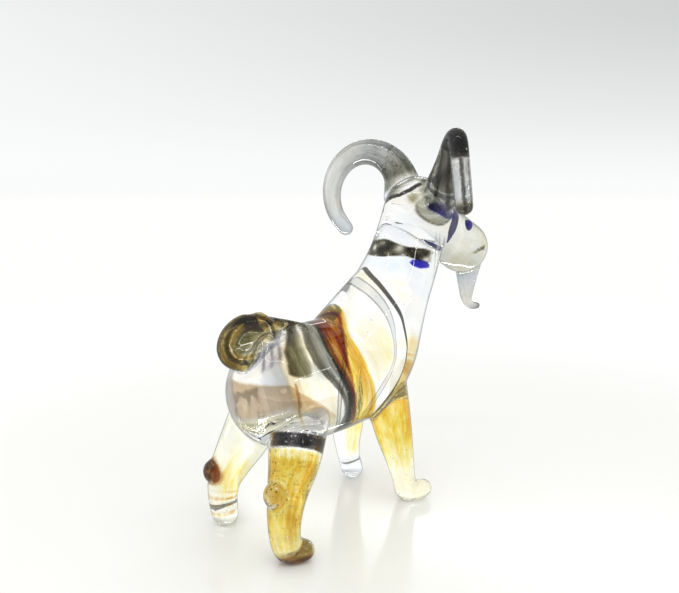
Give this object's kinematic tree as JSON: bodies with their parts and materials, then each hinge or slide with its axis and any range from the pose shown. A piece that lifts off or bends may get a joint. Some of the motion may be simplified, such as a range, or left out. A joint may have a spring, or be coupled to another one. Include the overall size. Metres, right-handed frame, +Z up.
{
  "type": "glass goat figurine",
  "caption": "Miniature standing goat of clear and coloured glass, worked in the flame as one solid piece, with curled horns, a beard, a rolled tail and turned-up feet.",
  "frame": {"origin": "on the table, under the middle of the goat's bounding box", "axes": "+Z up; the goat faces -Y, so its left side is at +X and its tail at +Y"},
  "size_m": [0.0296, 0.0574, 0.0574],
  "materials": {
    "goat": "fire-polished clear glass with smoke, amber and blue canes"
  },
  "bodies": {
    "root": {"goat": "goat"}
  },
  "joints": []
}
